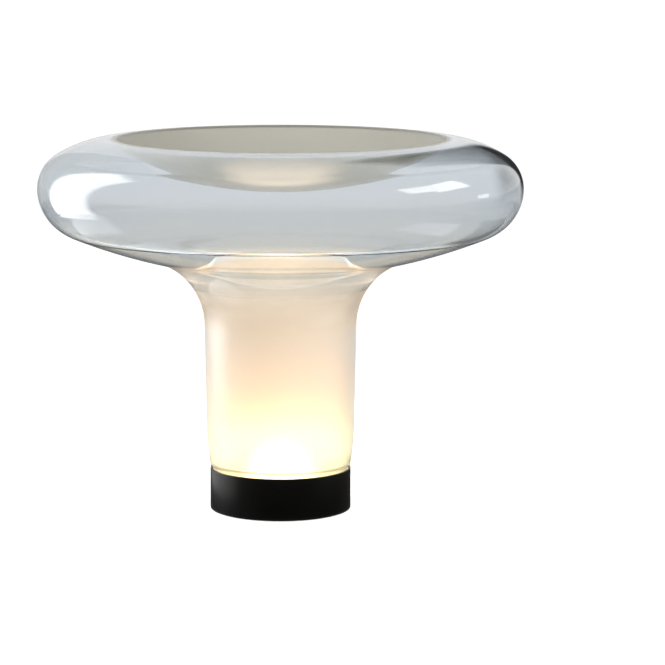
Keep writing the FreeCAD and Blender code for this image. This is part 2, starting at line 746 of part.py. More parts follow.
def make_heat_sink():
    body = new_body("heat_sink")
    plate = Outline(body, "SinkPlateSketch", "XY_Plane", SINK_UNDER)
    plate.circle(None, None, "sink_radius")
    pad(plate, "SinkPlate", "sink_plate")
    hub = Outline(body, "SinkHubSketch", "XY_Plane", SINK_UNDER)
    hub.circle(None, None, "hub_radius")
    pad(hub, "SinkHub", "hub_drop", down=True)
    fin = Outline(body, "FinSketch", "XY_Plane", SINK_UNDER)
    half_step = "(180 / fin_count)"
    root = "(hub_radius - fin_root)"
    end = "(sink_radius - fin_setback)"
    corners = []
    for reach, side in ((root, -1), (end, -1), (end, 1), (root, 1)):
        across = f"{reach} * cos({half_step}) - {side} * fin_thickness / 2 * sin({half_step})"
        along = f"{reach} * sin({half_step}) + {side} * fin_thickness / 2 * cos({half_step})"
        corners.append((across, along))
    fin.polygon(corners)
    blade = pad(fin, "Fin", "fin_drop", down=True)
    repeat(body, [blade], "FinRing", "fin_count")
    through = "sink_plate + hole_gap"
    screw_holes(body, "DomeTap", DOME_SCREW_RING, DOME_SCREW_ANGLE, LEDGE_TOP, through, SMALL_HOLE)
    screw_holes(body, "BoardTap", BOARD_SCREW_RING, BOARD_SCREW_ANGLE, LEDGE_TOP, through, SMALL_HOLE)
    leads = Outline(body, "LeadHoleSketch", "XY_Plane", LEDGE_TOP)
    leads.circle(LEAD_RING, None, "lead_hole")
    cut(leads, "LeadHole", "sink_plate")


# LED board on its thermal pad, with two rings of LEDs

def make_light_source():
    ring = (BOARD_SCREW_RING, BOARD_SCREW_ANGLE)
    gap_pad = ring_body("thermal_pad", "board_radius - pad_inset", None, LEDGE_TOP, "pad_thickness")
    screw_holes(gap_pad, "PadScrew", *ring, BOARD_UNDER, "pad_thickness", SMALL_HOLE)
    leads = Outline(gap_pad, "PadLeadSketch", "XY_Plane", BOARD_UNDER)
    leads.circle(LEAD_RING, None, "lead_hole")
    cut(leads, "PadLeadHole", "pad_thickness")
    board = ring_body("led_board", "board_radius", None, BOARD_UNDER, "board_thickness")
    screw_holes(board, "BoardScrew", *ring, BOARD_TOP, "board_thickness", SMALL_HOLE)
    screws(
        "board_screws", *ring, BOARD_TOP, "small_shank", BOARD_SCREW_LENGTH,
        "small_head", "small_head_height",
    )
    packages = new_body("led_packages")
    for name in ("outer", "inner"):
        middle = f"{name}_led_ring"
        outline = Outline(packages, f"{name}LedSketch", "XY_Plane", BOARD_TOP)
        near = f"{middle} - led_width / 2"
        outline.box(near, f"{middle} + led_width / 2", "-led_length / 2", "led_length / 2")
        package = pad(outline, f"{name}Led", "led_height")
        repeat(packages, [package], f"{name}LedRing", f"{name}_led_count")


# Cast ballast ring with a rear notch for the cord

def make_ballast():
    body = new_body("ballast_ring")
    sketch = Outline(body, "BallastSketch", "XY_Plane", COVER_TOP)
    sketch.circle(None, None, PLATE_RADIUS)
    sketch.circle(None, None, BALLAST_BORE)
    pad(sketch, "Ballast", f"{LEDGE_UNDER} - {COVER_TOP}")
    inner_edges = (COVER_TOP, LEDGE_UNDER)
    round_edges(
        body,
        "CastEdge",
        lambda edge: any(is_circle(edge, BALLAST_BORE, height) for height in inner_edges),
        "ballast_edge",
    )
    notch = Outline(body, "NotchSketch", "XY_Plane", LEDGE_UNDER)
    notch.box("-notch_width / 2", "notch_width / 2", f"{BALLAST_BORE} / 2", BASE_RADIUS)
    cut(notch, "CordNotch", f"{LEDGE_UNDER} - {COVER_TOP}")
    ring = (BALLAST_SCREW_RING, BALLAST_SCREW_ANGLE)
    screw_holes(body, "BallastScrew", *ring, COVER_TOP, f"{LEDGE_UNDER} - {COVER_TOP}", SCREW_HOLE, up=True)
    screw_holes(body, "BallastBore", *ring, COVER_TOP, "bore_depth", "screw_head + head_gap", up=True)
    screw_holes(
        body, "CoverTap", COVER_SCREW_RING, COVER_SCREW_ANGLE, COVER_TOP, TAPPED_DEPTH, LARGE_HOLE, up=True,
    )
    screws(
        "ballast_screws", *ring, BALLAST_SCREW_SEAT, "screw_shank", BALLAST_SCREW_LENGTH,
        "screw_head", "screw_head_height", from_below=True,
    )


# Bottom cover with its screws, and the soft foot ring under it

CORNERS = [
    (f"{side} * {POST_X}", f"{end} * {POST_Y} - case_forward")
    for side in (-1, 1)
    for end in (-1, 1)
]


def case_posts(outline, radius):
    """A circle at each of the driver case's four screws."""
    for corner in CORNERS:
        outline.circle(*corner, radius)


def make_cover():
    cover = ring_body("bottom_cover", PLATE_RADIUS, None, "foot_thickness", "cover_thickness")
    ring = (COVER_SCREW_RING, COVER_SCREW_ANGLE)
    recess = "large_head_height + hole_gap"
    screw_holes(cover, "CoverScrew", *ring, "foot_thickness", "cover_thickness", LARGE_HOLE, up=True)
    screw_holes(cover, "CoverBore", *ring, "foot_thickness", recess, "large_head + head_gap", up=True)
    fixings = Outline(cover, "CaseTapSketch", "XY_Plane", "foot_thickness")
    case_posts(fixings, SCREW_HOLE)
    fixings.circle(None, "block_setback", "peg_radius + hole_gap")
    cut(fixings, "CaseTap", "cover_thickness", up=True)
    screws(
        "cover_screws", *ring, COVER_SCREW_SEAT, "large_shank", "cover_screw_length",
        "large_head", "large_head_height", from_below=True,
    )
    foot = f"{PLATE_RADIUS} - foot_inset"
    pad_body = new_body("foot_pad")
    sketch = Outline(pad_body, "FootSketch", "XY_Plane")
    sketch.circle(None, None, foot)
    sketch.circle(None, None, f"{foot} - foot_width")
    pad(sketch, "FootRing", "foot_thickness")


# Two-part plastic case of the driver

def case_box(outline, inset):
    side = f"(case_length / 2 - {inset})"
    half = f"(case_width / 2 - {inset})"
    outline.box(f"-{side}", side, f"-{half} - case_forward", f"{half} - case_forward")


def is_upright_corner(edge):
    """Whether an edge is one of the case's four outer corners."""
    if not isinstance(edge.Curve, Part.Line) or abs(edge.Curve.Direction.z) < 0.99:
        return False
    return abs(abs(edge.Vertexes[0].X) - number("case_length / 2")) < SAME


def make_case():
    tray = new_body("driver_tray")
    box = Outline(tray, "TraySketch", "XY_Plane", COVER_TOP)
    case_box(box, "0")
    pad(box, "TrayBox", "tray_height")
    round_edges(tray, "TrayCorners", is_upright_corner, "case_round")
    hollow = Outline(tray, "TrayHollowSketch", "XY_Plane", LID_BOTTOM)
    case_box(hollow, "case_wall")
    cut(hollow, "TrayHollow", "tray_height - case_wall")
    posts = Outline(tray, "TrayPostSketch", "XY_Plane", CASE_FLOOR)
    case_posts(posts, "post_radius")
    pad(posts, "TrayPosts", "tray_height - case_wall")
    ribs = Outline(tray, "RibSketch", "XY_Plane", CASE_FLOOR)
    for side in (-1, 1):
        middle = f"{side} * rib_spacing / 2"
        ribs.box(
            f"{middle} - rib_thickness / 2", f"{middle} + rib_thickness / 2",
            "-case_width / 2 + case_wall - case_forward", "case_width / 2 - case_wall - case_forward",
        )
    pad(ribs, "Ribs", "rib_height")
    holes = Outline(tray, "TrayHoleSketch", "XY_Plane", LID_BOTTOM)
    case_posts(holes, SCREW_HOLE)
    cut(holes, "TrayHoles", "tray_height")

    lid = new_body("driver_lid")
    cap = Outline(lid, "LidSketch", "XY_Plane", LID_BOTTOM)
    case_box(cap, "0")
    pad(cap, "LidBox", "lid_height")
    round_edges(lid, "LidCorners", is_upright_corner, "case_round")
    inside = Outline(lid, "LidHollowSketch", "XY_Plane", LID_BOTTOM)
    case_box(inside, "case_wall")
    cut(inside, "LidHollow", "lid_height - case_wall", up=True)
    caps = Outline(lid, "LidPostSketch", "XY_Plane", LID_BOTTOM)
    case_posts(caps, "post_radius")
    pad(caps, "LidPosts", "lid_height - case_wall")
    shafts = Outline(lid, "LidHoleSketch", "XY_Plane", LID_TOP)
    case_posts(shafts, SCREW_HOLE)
    cut(shafts, "LidHoles", "lid_height")
    sinks = Outline(lid, "LidSinkSketch", "XY_Plane", LID_TOP)
    case_posts(sinks, "screw_head + head_gap")
    cut(sinks, "LidSinks", "case_head_sink")
    vents = Outline(lid, "VentSketch", "XY_Plane", LID_TOP)
    for k in range(int(number("vent_count"))):
        middle = f"({k} - (vent_count - 1) / 2) * vent_spacing"
        vents.box(
            f"{middle} - vent_width / 2", f"{middle} + vent_width / 2",
            "-vent_length / 2 - case_forward", "vent_length / 2 - case_forward",
        )
    cut(vents, "Vents", "case_wall")

    fixings = new_body("driver_screws")
    heads = Outline(fixings, "CaseHeadSketch", "XY_Plane", CASE_SCREW_SEAT)
    case_posts(heads, "screw_head")
    pad(heads, "CaseHeads", "screw_head_height")
    shanks = Outline(fixings, "CaseShankSketch", "XY_Plane", CASE_SCREW_SEAT)
    case_posts(shanks, "screw_shank")
    pad(shanks, "CaseShanks", CASE_SCREW_LENGTH, down=True)
    sockets = Outline(fixings, "CaseSocketSketch", "XY_Plane", f"{CASE_SCREW_SEAT} + screw_head_height")
    for corner in CORNERS:
        sockets.hexagon(*corner, "screw_head * socket_share")
    cut(sockets, "CaseSockets", "screw_head_height * socket_depth_share")


# Driver board, its transformer and its two capacitors

def make_driver():
    board = new_body("driver_board")
    laminate = Outline(board, "DriverBoardSketch", "XY_Plane", f"{CASE_FLOOR} + rib_height")
    laminate.box(
        f"-{DRIVER_BOARD_END}", DRIVER_BOARD_END,
        f"-{DRIVER_BOARD_SIDE} - case_forward", f"{DRIVER_BOARD_SIDE} - case_forward",
    )
    pad(laminate, "DriverBoard", "driver_board_thickness")

    transformer = new_body("driver_transformer")
    core = Outline(transformer, "CoreSketch", "XY_Plane", DRIVER_BOARD_TOP)
    core.box(
        "-core_length / 2 - core_offset", "core_length / 2 - core_offset",
        "-core_width / 2 - case_forward", "core_width / 2 - case_forward",
    )
    pad(core, "Core", "core_height")
    waist = Outline(transformer, "WindingSketch", "XY_Plane", f"{DRIVER_BOARD_TOP} + core_height")
    for side in (-1, 1):
        waist.box(
            "-core_length / 2 - core_offset + core_cheek", "core_length / 2 - core_offset - core_cheek",
            f"{side} * core_width / 2 - case_forward",
            f"{side} * (core_width / 2 - winding_inset) - case_forward",
        )
    cut(waist, "Winding", "core_height")

    capacitors = new_body("driver_capacitors")
    cans = Outline(capacitors, "CanSketch", "XZ_Plane", "case_forward - capacitor_length / 2")
    for k in range(2):
        middle = f"capacitor_offset + {k} * capacitor_spacing"
        cans.circle(middle, f"{DRIVER_BOARD_TOP} + capacitor_radius", "capacitor_radius")
    pad(cans, "Cans", "capacitor_length")
    round_edges(capacitors, "CanEdges", lambda edge: isinstance(edge.Curve, Part.Circle), "can_round")


# Terminal block, with a peg into the bottom cover, and its clamp screws

def make_block():
    block = new_body("terminal_block")
    brick = Outline(block, "BlockSketch", "XY_Plane", COVER_TOP)
    brick.box("-block_length / 2", "block_length / 2", BLOCK_FRONT, BLOCK_REAR)
    pad(brick, "Block", "block_height")
    peg = Outline(block, "PegSketch", "XY_Plane", COVER_TOP)
    peg.circle(None, "block_setback", "peg_radius")
    pad(peg, "Peg", "peg_length", down=True)
    entries = Outline(block, "EntrySketch", "XZ_Plane", f"-{BLOCK_REAR}")
    wells = Outline(block, "WellSketch", "XY_Plane", BLOCK_TOP)
    clamps = new_body("terminal_screws")
    grubs = Outline(clamps, "GrubSketch", "XY_Plane", f"{BLOCK_TOP} - clamp_depth")
    sockets = Outline(clamps, "GrubSocketSketch", "XY_Plane", f"{BLOCK_TOP} - clamp_depth + clamp_height")
    for side in (-1, 1):
        pole = f"{side} * pole_spacing / 2"
        entries.circle(pole, f"{COVER_TOP} + entry_height", "entry_radius")
        for end in (-1, 1):
            place = f"block_setback + {end} * clamp_spacing / 2"
            wells.circle(pole, place, "clamp_radius + hole_gap")
            grubs.circle(pole, place, "clamp_radius")
            sockets.hexagon(pole, place, "clamp_radius * socket_share")
    cut(entries, "Entries", "entry_depth", up=True)
    cut(wells, "Wells", "clamp_depth")
    pad(grubs, "Grubs", "clamp_height")
    cut(sockets, "GrubSockets", "clamp_height * socket_depth_share")


# Rubber grommet in the rear wall, shaped to the cup's curve

def make_grommet():
    body = new_body("cord_grommet")
    inner_end = f"({CUP_BORE} - grommet_inside)"
    outer_end = f"({BASE_RADIUS} + grommet_flange)"
    ring = Outline(body, "FlangeSketch", "XZ_Plane", f"-{outer_end}")
    ring.circle(None, "inlet_height", "grommet_radius")
    pad(ring, "Flanges", f"{outer_end} - {inner_end}")
    wall = Outline(body, "WallSketch", "XY_Plane", "inlet_height + grommet_radius + cut_margin")
    wall.circle(None, None, BASE_RADIUS)
    wall.circle(None, None, CUP_BORE)
    cut(wall, "WallSlot", "2 * (grommet_radius + cut_margin)")
    neck = Outline(body, "NeckSketch", "XZ_Plane", f"-{BASE_RADIUS}")
    neck.circle(None, "inlet_height", "inlet_hole - hole_gap / 2")
    pad(neck, "Neck", "cup_wall + grommet_inside / 2")
    bore = Outline(body, "CordBoreSketch", "XZ_Plane", f"-{outer_end}")
    bore.circle(None, "inlet_height", "inlet_bore")
    cut(bore, "CordBore", f"{outer_end} - {inner_end}", up=True)


# Wires inside the base

def tube(points, radius):
    """A round wire along straight runs with the largest tangent arcs that its runs allow."""
    spots = [FreeCAD.Vector(*point) for point in points]
    edges = []
    last = spots[0]
    for before, corner, after in zip(spots, spots[1:], spots[2:]):
        arriving = (corner - before).normalize()
        leaving = (after - corner).normalize()
        trim = 0.45 * min((corner - before).Length, (after - corner).Length)
        start = corner - arriving * trim
        end = corner + leaving * trim
        bend = trim / math.tan(arriving.getAngle(leaving) / 2)
        inward = (leaving - arriving).normalize()
        reach = math.hypot(bend, trim) - bend
        edges.append(Part.LineSegment(last, start).toShape())
        edges.append(Part.Arc(start, corner + inward * reach, end).toShape())
        last = end
    edges.append(Part.LineSegment(last, spots[-1]).toShape())
    direction = spots[1] - spots[0]
    section = Part.Wire([Part.makeCircle(radius, spots[0], direction)])
    return Part.Wire(edges).makePipeShell([section], True, False)


def wires(label, solids):
    feature = doc.addObject("Part::Feature", label)
    feature.Label = label
    feature.Shape = Part.makeCompound(solids)
    feature.Placement = FreeCAD.Placement()
    return feature


def make_wires():
    level = number(f"{COVER_TOP} + mains_level")
    block_face = number(BLOCK_FRONT)
    case_face = number(CASE_REAR)
    straight = number("mains_straight")
    mains = []
    leads = []
    for side in (-1, 1):
        near = side * number("pole_spacing / 2")
        far = near - side * number("mains_shift")
        mains.append(tube([
            (near, block_face, level),
            (near, block_face - straight, level),
            (far, case_face + straight, level),
            (far, case_face, level),
        ], number("mains_radius")))
        place = side * number("lead_pitch / 2")
        start = number(f"{COVER_TOP} + lead_start")
        swing = number("case_length / 2 + lead_reach")
        run = number(f"{SINK_UNDER} - lead_drop")
        rise = number(LEAD_RING)
        leads.append(tube([
            (number("case_length / 2"), place, start),
            (swing, place, start),
            (swing, place, run),
            (rise, place, run),
            (rise, place, number(BOARD_UNDER)),
        ], number("lead_radius")))
    wires("mains_leads", mains)
    wires("led_leads", leads)


make_glass()
make_cup()
make_deck()
make_dome()
make_heat_sink()
make_light_source()
make_ballast()
make_cover()
make_case()
make_driver()
make_block()
make_grommet()
make_wires()
doc.recompute()

# Check every object, then write one file for each piece

for item in doc.Objects:
    if "Invalid" in item.State or "Error" in item.State:
        raise RuntimeError(f"{item.Label} failed: {item.State}")
pieces = [item for item in doc.Objects if item.TypeId in ("PartDesign::Body", "Part::Feature")]
for piece in pieces:
    if piece.Shape.isNull() or not piece.Shape.isValid():
        raise RuntimeError(f"{piece.Label} has no valid shape")
for piece in pieces:
    piece.Shape.exportStep(f"parts/{piece.Label}.step")
    print(f"{piece.Label}: {len(piece.Shape.Solids)} solids, {piece.Shape.Volume:.0f} mm3")
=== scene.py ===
import math

import bpy
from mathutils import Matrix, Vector


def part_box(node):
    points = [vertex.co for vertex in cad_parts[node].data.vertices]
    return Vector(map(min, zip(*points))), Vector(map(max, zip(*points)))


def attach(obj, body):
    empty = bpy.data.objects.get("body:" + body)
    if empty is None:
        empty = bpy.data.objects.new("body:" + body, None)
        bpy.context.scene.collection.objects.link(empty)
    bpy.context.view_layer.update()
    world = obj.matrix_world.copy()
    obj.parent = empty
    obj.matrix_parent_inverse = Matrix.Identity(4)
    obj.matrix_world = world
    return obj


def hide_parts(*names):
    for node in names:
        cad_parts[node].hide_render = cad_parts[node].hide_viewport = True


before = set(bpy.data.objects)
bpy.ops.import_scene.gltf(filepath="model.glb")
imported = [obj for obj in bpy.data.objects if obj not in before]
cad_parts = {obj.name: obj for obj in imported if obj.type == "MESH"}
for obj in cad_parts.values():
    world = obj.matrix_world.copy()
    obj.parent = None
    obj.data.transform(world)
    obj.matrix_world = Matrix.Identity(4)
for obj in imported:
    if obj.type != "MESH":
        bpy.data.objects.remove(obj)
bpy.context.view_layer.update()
bpy.ops.object.select_all(action="DESELECT")


# Camera, at the height and distance of the photograph, with the lamp a little left of the middle

eye_distance = 2.8
eye_height = 0.5728
look_down = 8.37
bpy.ops.object.camera_add(
    location=(0, -eye_distance, eye_height),
    rotation=(math.radians(90 - look_down), 0, 0),
)
camera = bpy.context.object
camera.data.sensor_width = 36
camera.data.lens = 170.2
camera.data.shift_x = 0.0782
camera.data.clip_start = 0.1
bpy.context.scene.camera = camera
bpy.ops.object.select_all(action="DESELECT")


# Foot ring: a flat ring punched from dense foam rubber with fine open cells. It is stuck under the bottom
# cover, and the lamp stands on it.


class Term:
    """A node's output that can stand in a sum, so that a mask is written as it is said."""

    def __init__(self, finish, socket):
        self.finish = finish
        self.socket = socket

    def work(self, operation, first, second):
        return self.finish.node("ShaderNodeMath", {"operation": operation}, {0: first, 1: second})

    def __add__(self, other):
        return self.work("ADD", self, other)

    def __radd__(self, other):
        return self.work("ADD", other, self)

    def __sub__(self, other):
        return self.work("SUBTRACT", self, other)

    def __rsub__(self, other):
        return self.work("SUBTRACT", other, self)

    def __mul__(self, other):
        return self.work("MULTIPLY", self, other)

    def __rmul__(self, other):
        return self.work("MULTIPLY", other, self)

    def __pow__(self, other):
        return self.work("POWER", self, other)


class Finish:
    """A material in the making, or the studio's surroundings: a tree of nodes that ends in a surface."""

    def __init__(self, name, holder=None):
        self.material = holder or bpy.data.materials.new(name)
        self.material.use_nodes = True
        self.tree = self.material.node_tree
        self.tree.nodes.clear()

    def node(self, kind, settings=None, sockets=None, out=0):
        """Add a node: its settings first, then the value or link of each socket named."""
        made = self.tree.nodes.new(kind)
        for key, value in (settings or {}).items():
            if key == "stops":
                ramp = made.color_ramp
                while len(ramp.elements) < len(value):
                    ramp.elements.new(1)
                for stop, (place, colour) in zip(ramp.elements, value):
                    stop.position = place
                    stop.color = (*colour, 1)
            else:
                setattr(made, key, value)
        for key, value in (sockets or {}).items():
            if isinstance(value, Term):
                self.tree.links.new(value.socket, made.inputs[key])
            else:
                made.inputs[key].default_value = value
        return Term(self, made.outputs[out])

    def place(self):
        """Where on the piece a point is, in metres."""
        return self.node("ShaderNodeTexCoord", out="Object")

    def part(self, vector, axis):
        """One of a vector's three numbers."""
        return self.node("ShaderNodeSeparateXYZ", sockets={0: vector}, out=axis)

    def noise(self, scale, detail=4, roughness=0.5):
        sockets = {"Vector": self.place(), "Scale": scale, "Detail": detail, "Roughness": roughness}
        return self.node("ShaderNodeTexNoise", sockets=sockets)

    def between(self, value, low, high, start=0.0, end=1.0):
        """A smooth change from start to end as value goes from low to high."""
        span = {"interpolation_type": "SMOOTHSTEP"}
        return self.node("ShaderNodeMapRange", span, {0: value, 1: low, 2: high, 3: start, 4: end})

    def step(self, value, edge, soft=0.0001):
        """0 below an edge and 1 above it, with a soft change."""
        return self.between(value, edge - soft, edge + soft)

    def ring_distance(self, place):
        """How far a point is from the lamp's upright axis."""
        across = self.part(place, 0)
        along = self.part(place, 1)
        return (across * across + along * along) ** 0.5

    def size_of(self, value):
        return self.node("ShaderNodeMath", {"operation": "ABSOLUTE"}, {0: value})

    def wave(self, value):
        return self.node("ShaderNodeMath", {"operation": "SINE"}, {0: value})

    def cells(self, scale, feature="F1", vector=None):
        """How far a point is from the nearest cell's middle, or from its edge."""
        sockets = {"Vector": vector or self.place(), "Scale": scale}
        return self.node("ShaderNodeTexVoronoi", {"feature": feature}, sockets)

    def ramp(self, value, stops):
        return self.node("ShaderNodeValToRGB", {"stops": stops}, {0: value})

    def blend(self, share, first, second):
        """A colour between two colours."""
        sockets = {0: share, 6: self.colour(first), 7: self.colour(second)}
        return self.node("ShaderNodeMix", {"data_type": "RGBA"}, sockets, out=2)

    def colour(self, value):
        return value if isinstance(value, Term) else (*value, 1)

    def ray(self, kind):
        """Whether what looks at the surface is a ray of that kind."""
        return Term(self, self.tree.nodes.new("ShaderNodeLightPath").outputs[kind])

    def bump(self, height, distance, strength):
        sockets = {"Height": height, "Distance": distance, "Strength": strength}
        return self.node("ShaderNodeBump", sockets=sockets)

    def shader(self, sockets):
        """A principled shader."""
        values = {key: self.colour(value) if "Color" in key else value for key, value in sockets.items()}
        return self.node("ShaderNodeBsdfPrincipled", sockets=values)

    def output(self, surface, volume=None, kind="ShaderNodeOutputMaterial"):
        """Hand back the material with its surface, and its inside where one is given."""
        output = self.tree.nodes.new(kind)
        self.tree.links.new(surface.socket, output.inputs["Surface"])
        if volume:
            self.tree.links.new(volume.socket, output.inputs["Volume"])
        return self.material

    def surface(self, sockets):
        """Hand back the material with one principled shader."""
        return self.output(self.shader(sockets))


def dress(node, material):
    """Give a carried-over part its finish."""
    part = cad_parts[node]
    part.data.materials.clear()
    part.data.materials.append(material)


finish = Finish("foot foam")
cell = finish.cells(2600)
dress("foot_pad", finish.surface({
    "Base Color": finish.blend(cell, (0.030, 0.030, 0.032), (0.055, 0.055, 0.058)),
    "Roughness": 0.92,
    "Normal": finish.bump(cell, 0.00012, 0.8),
}))


# Bottom cover: steel plate with a fine black coat, scuffed to a paler grey in places. Three screws hold it
# to the ballast, zinc plated like every other screw in the base.

finish = Finish("black coated steel")
grain = finish.noise(900, 3)
scuff = finish.step(finish.noise(60, 6, 0.7), 0.62, 0.08)
dress("bottom_cover", finish.surface({
    "Base Color": finish.blend(scuff * 0.5, (0.028, 0.028, 0.030), (0.085, 0.085, 0.085)),
    "Roughness": grain * 0.15 + 0.42 + scuff * 0.1,
    "Normal": finish.bump(grain, 0.00005, 0.6),
}))

finish = Finish("zinc plated steel")
cloud = finish.noise(350, 4)
brushed = finish.noise(2400, 2)
zinc = finish.surface({
    "Base Color": finish.ramp(cloud, [
        (0.3, (0.55, 0.56, 0.60)),
        (0.5, (0.64, 0.63, 0.58)),
        (0.7, (0.60, 0.58, 0.62)),
    ]),
    "Metallic": 1.0,
    "Roughness": brushed * 0.15 + 0.24,
    "Normal": finish.bump(brushed, 0.00001, 0.4),
})
for held in ("cover", "ballast", "deck", "dome", "board", "driver", "terminal"):
    dress(f"{held}_screws", zinc)


# Ballast ring: grey iron as it comes from the sand mould, dark in its pits. It lies on the bottom cover
# and three long screws pull it up to the cup's ledge.

finish = Finish("cast iron")
sand = finish.noise(1100, 5, 0.65)
pit = finish.step(finish.noise(420, 3), 0.60, 0.05)
dress("ballast_ring", finish.surface({
    "Base Color": finish.blend(sand, (0.050, 0.049, 0.048), (0.135, 0.130, 0.125)),
    "Metallic": 0.55,
    "Roughness": sand * 0.25 + 0.50,
    "Normal": finish.bump(sand - pit * 0.5, 0.00025, 0.9),
}))


# Driver case: tray and lid moulded in white polycarbonate with a fine eroded texture, screwed through
# their four posts to the bottom cover.

finish = Finish("white case plastic")
texture = finish.noise(2200, 2)
dirt = finish.noise(45, 4)
case_plastic = finish.surface({
    "Base Color": finish.blend(dirt, (0.86, 0.855, 0.82), (0.92, 0.92, 0.90)),
    "Roughness": texture * 0.12 + 0.46,
    "Normal": finish.bump(texture, 0.00004, 0.6),
})
dress("driver_tray", case_plastic)
dress("driver_lid", case_plastic)


# Driver board: glass fibre laminate with copper tracks under a green mask. It rests on the tray's two ribs,
# between the posts of the case.

finish = Finish("circuit board")
place = finish.place()
net = finish.cells(230, "DISTANCE_TO_EDGE", place)
track = finish.between(net, 0.02, 0.05, 1, 0)
weave_turns = 9000
weave = finish.size_of(finish.wave(finish.part(place, 0) * weave_turns))
dress("driver_board", finish.surface({
    "Base Color": finish.blend(track, (0.020, 0.155, 0.070), (0.055, 0.290, 0.140)),
    "Roughness": weave * 0.06 + 0.34,
    "Normal": finish.bump(track + weave * 0.1, 0.00004, 0.7),
}))


# Transformer: a coil bound in yellow tape between the two dark cheeks of its ferrite core. It is soldered
# to the driver board.

finish = Finish("transformer")
low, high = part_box("driver_transformer")
place = finish.place()
reach = finish.size_of(finish.part(place, 0) - (low.x + high.x) / 2)
cheek_thickness = 0.003
cheek = finish.step(reach, (high.x - low.x) / 2 - cheek_thickness)
fold = finish.noise(600, 3)
dress("driver_transformer", finish.surface({
    "Base Color": finish.blend(cheek, (0.86, 0.62, 0.06), (0.045, 0.043, 0.042)),
    "Roughness": fold * 0.15 + 0.22 + cheek * 0.3,
    "Normal": finish.bump(fold, 0.00008, 0.6),
}))


# Capacitors: two aluminium cans in dark shrink sleeves with a pale stripe, bare at their ends. They lie on
# the driver board and are soldered to it.

finish = Finish("sleeved can")
low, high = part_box("driver_capacitors")
place = finish.place()
reach = finish.size_of(finish.part(place, 1) - (low.y + high.y) / 2)
bare_end = 0.0006
bare = finish.step(reach, (high.y - low.y) / 2 - bare_end)
stripe_depth = 0.0004
stripe = finish.step(finish.part(place, 2), high.z - stripe_depth)
sleeve = finish.blend(stripe, (0.030, 0.032, 0.060), (0.60, 0.62, 0.66))
shrink = finish.noise(500, 2)
dress("driver_capacitors", finish.surface({
    "Base Color": finish.blend(bare, sleeve, (0.80, 0.80, 0.80)),
    "Metallic": bare,
    "Roughness": shrink * 0.12 + 0.20,
    "Normal": finish.bump(shrink, 0.00005, 0.5),
}))


# Terminal block: moulded from pale polyamide, slightly mottled. It is pegged to the bottom cover behind the
# cord inlet.

finish = Finish("polyamide")
mottle = finish.noise(260, 5)
dress("terminal_block", finish.surface({
    "Base Color": finish.blend(mottle, (0.74, 0.76, 0.75), (0.86, 0.875, 0.87)),
    "Roughness": mottle * 0.15 + 0.38,
    "Normal": finish.bump(mottle, 0.00004, 0.5),
}))


# Wires: one brown and one blue from the terminals to the driver, and one red and one black from there up
# to the LED board. Drawn insulation, slightly glossy.

finish = Finish("mains wires")
place = finish.place()
drawn = finish.noise(1500, 2)
side = finish.step(finish.part(place, 0), 0)
dress("mains_leads", finish.surface({
    "Base Color": finish.blend(side, (0.170, 0.070, 0.030), (0.030, 0.110, 0.420)),
    "Roughness": drawn * 0.15 + 0.32,
    "Normal": finish.bump(drawn, 0.00002, 0.5),
}))

finish = Finish("light source wires")
place = finish.place()
drawn = finish.noise(1500, 2)
side = finish.step(finish.part(place, 1), 0)
dress("led_leads", finish.surface({
    "Base Color": finish.blend(side, (0.025, 0.024, 0.024), (0.620, 0.045, 0.035)),
    "Roughness": drawn * 0.15 + 0.32,
    "Normal": finish.bump(drawn, 0.00002, 0.5),
}))


# Cord inlet: a grommet moulded from black rubber, whose two flanges grip the cup's wall. The photograph
# shows no cord, so there is only its bore.

finish = Finish("moulded rubber")
skin = finish.noise(1300, 4)
bloom = finish.noise(90, 3)
dress("cord_grommet", finish.surface({
    "Base Color": finish.blend(bloom, (0.020, 0.020, 0.020), (0.042, 0.041, 0.040)),
    "Roughness": skin * 0.15 + 0.66,
    "Normal": finish.bump(skin, 0.00006, 0.6),
}))


# Base cup: turned from metal and powder coated satin black, with a rounded foot and a fine round on its rim.
# Its inner ledge carries the ballast from below and the deck from above.

finish = Finish("black powder coat")
grain = finish.noise(1400, 3)
dress("base_cup", finish.surface({
    "Base Color": finish.blend(grain, (0.0008, 0.0008, 0.0007), (0.0020, 0.0020, 0.0018)),
    "Roughness": grain * 0.08 + 0.26,
    "Specular IOR Level": 0.3,
    "Normal": finish.bump(grain, 0.00006, 0.5),
}))


# Heat sink: die cast aluminium, bead blasted, with fins that hang down and painted shade towards their
# roots.
# The dome's screws go through the deck and hold it from above.

finish = Finish("blasted aluminium")
low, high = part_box("heat_sink")
bead = finish.noise(2000, 3)
# Painted shade: the colour darkens towards the top, where the fins meet the body
depth = finish.between(finish.part(finish.place(), 2), low.z, high.z)
dress("heat_sink", finish.surface({
    "Base Color": finish.blend(depth, (0.70, 0.71, 0.73), (0.58, 0.59, 0.61)),
    "Metallic": 1.0,
    "Roughness": bead * 0.18 + 0.40,
    "Normal": finish.bump(bead, 0.00006, 0.7),
}))


# Thermal pad: soft grey-blue gap filler with a fine fabric face. The LED board's screws press it between
# the board and the heat sink.

finish = Finish("gap pad")
place = finish.place()
thread_turns = 7000
warp = finish.wave(finish.part(place, 0) * thread_turns)
weft = finish.wave(finish.part(place, 1) * thread_turns)
fabric = warp * weft * 0.5 + 0.5
dress("thermal_pad", finish.surface({
    "Base Color": finish.blend(fabric, (0.44, 0.50, 0.60), (0.58, 0.64, 0.73)),
    "Roughness": fabric * 0.1 + 0.75,
    "Normal": finish.bump(fabric, 0.00003, 0.6),
}))


# LED board: a round aluminium core under a white mask, bare at its cut edge, with two round tracks under the
# rings of LEDs. Screws hold it to the heat sink.

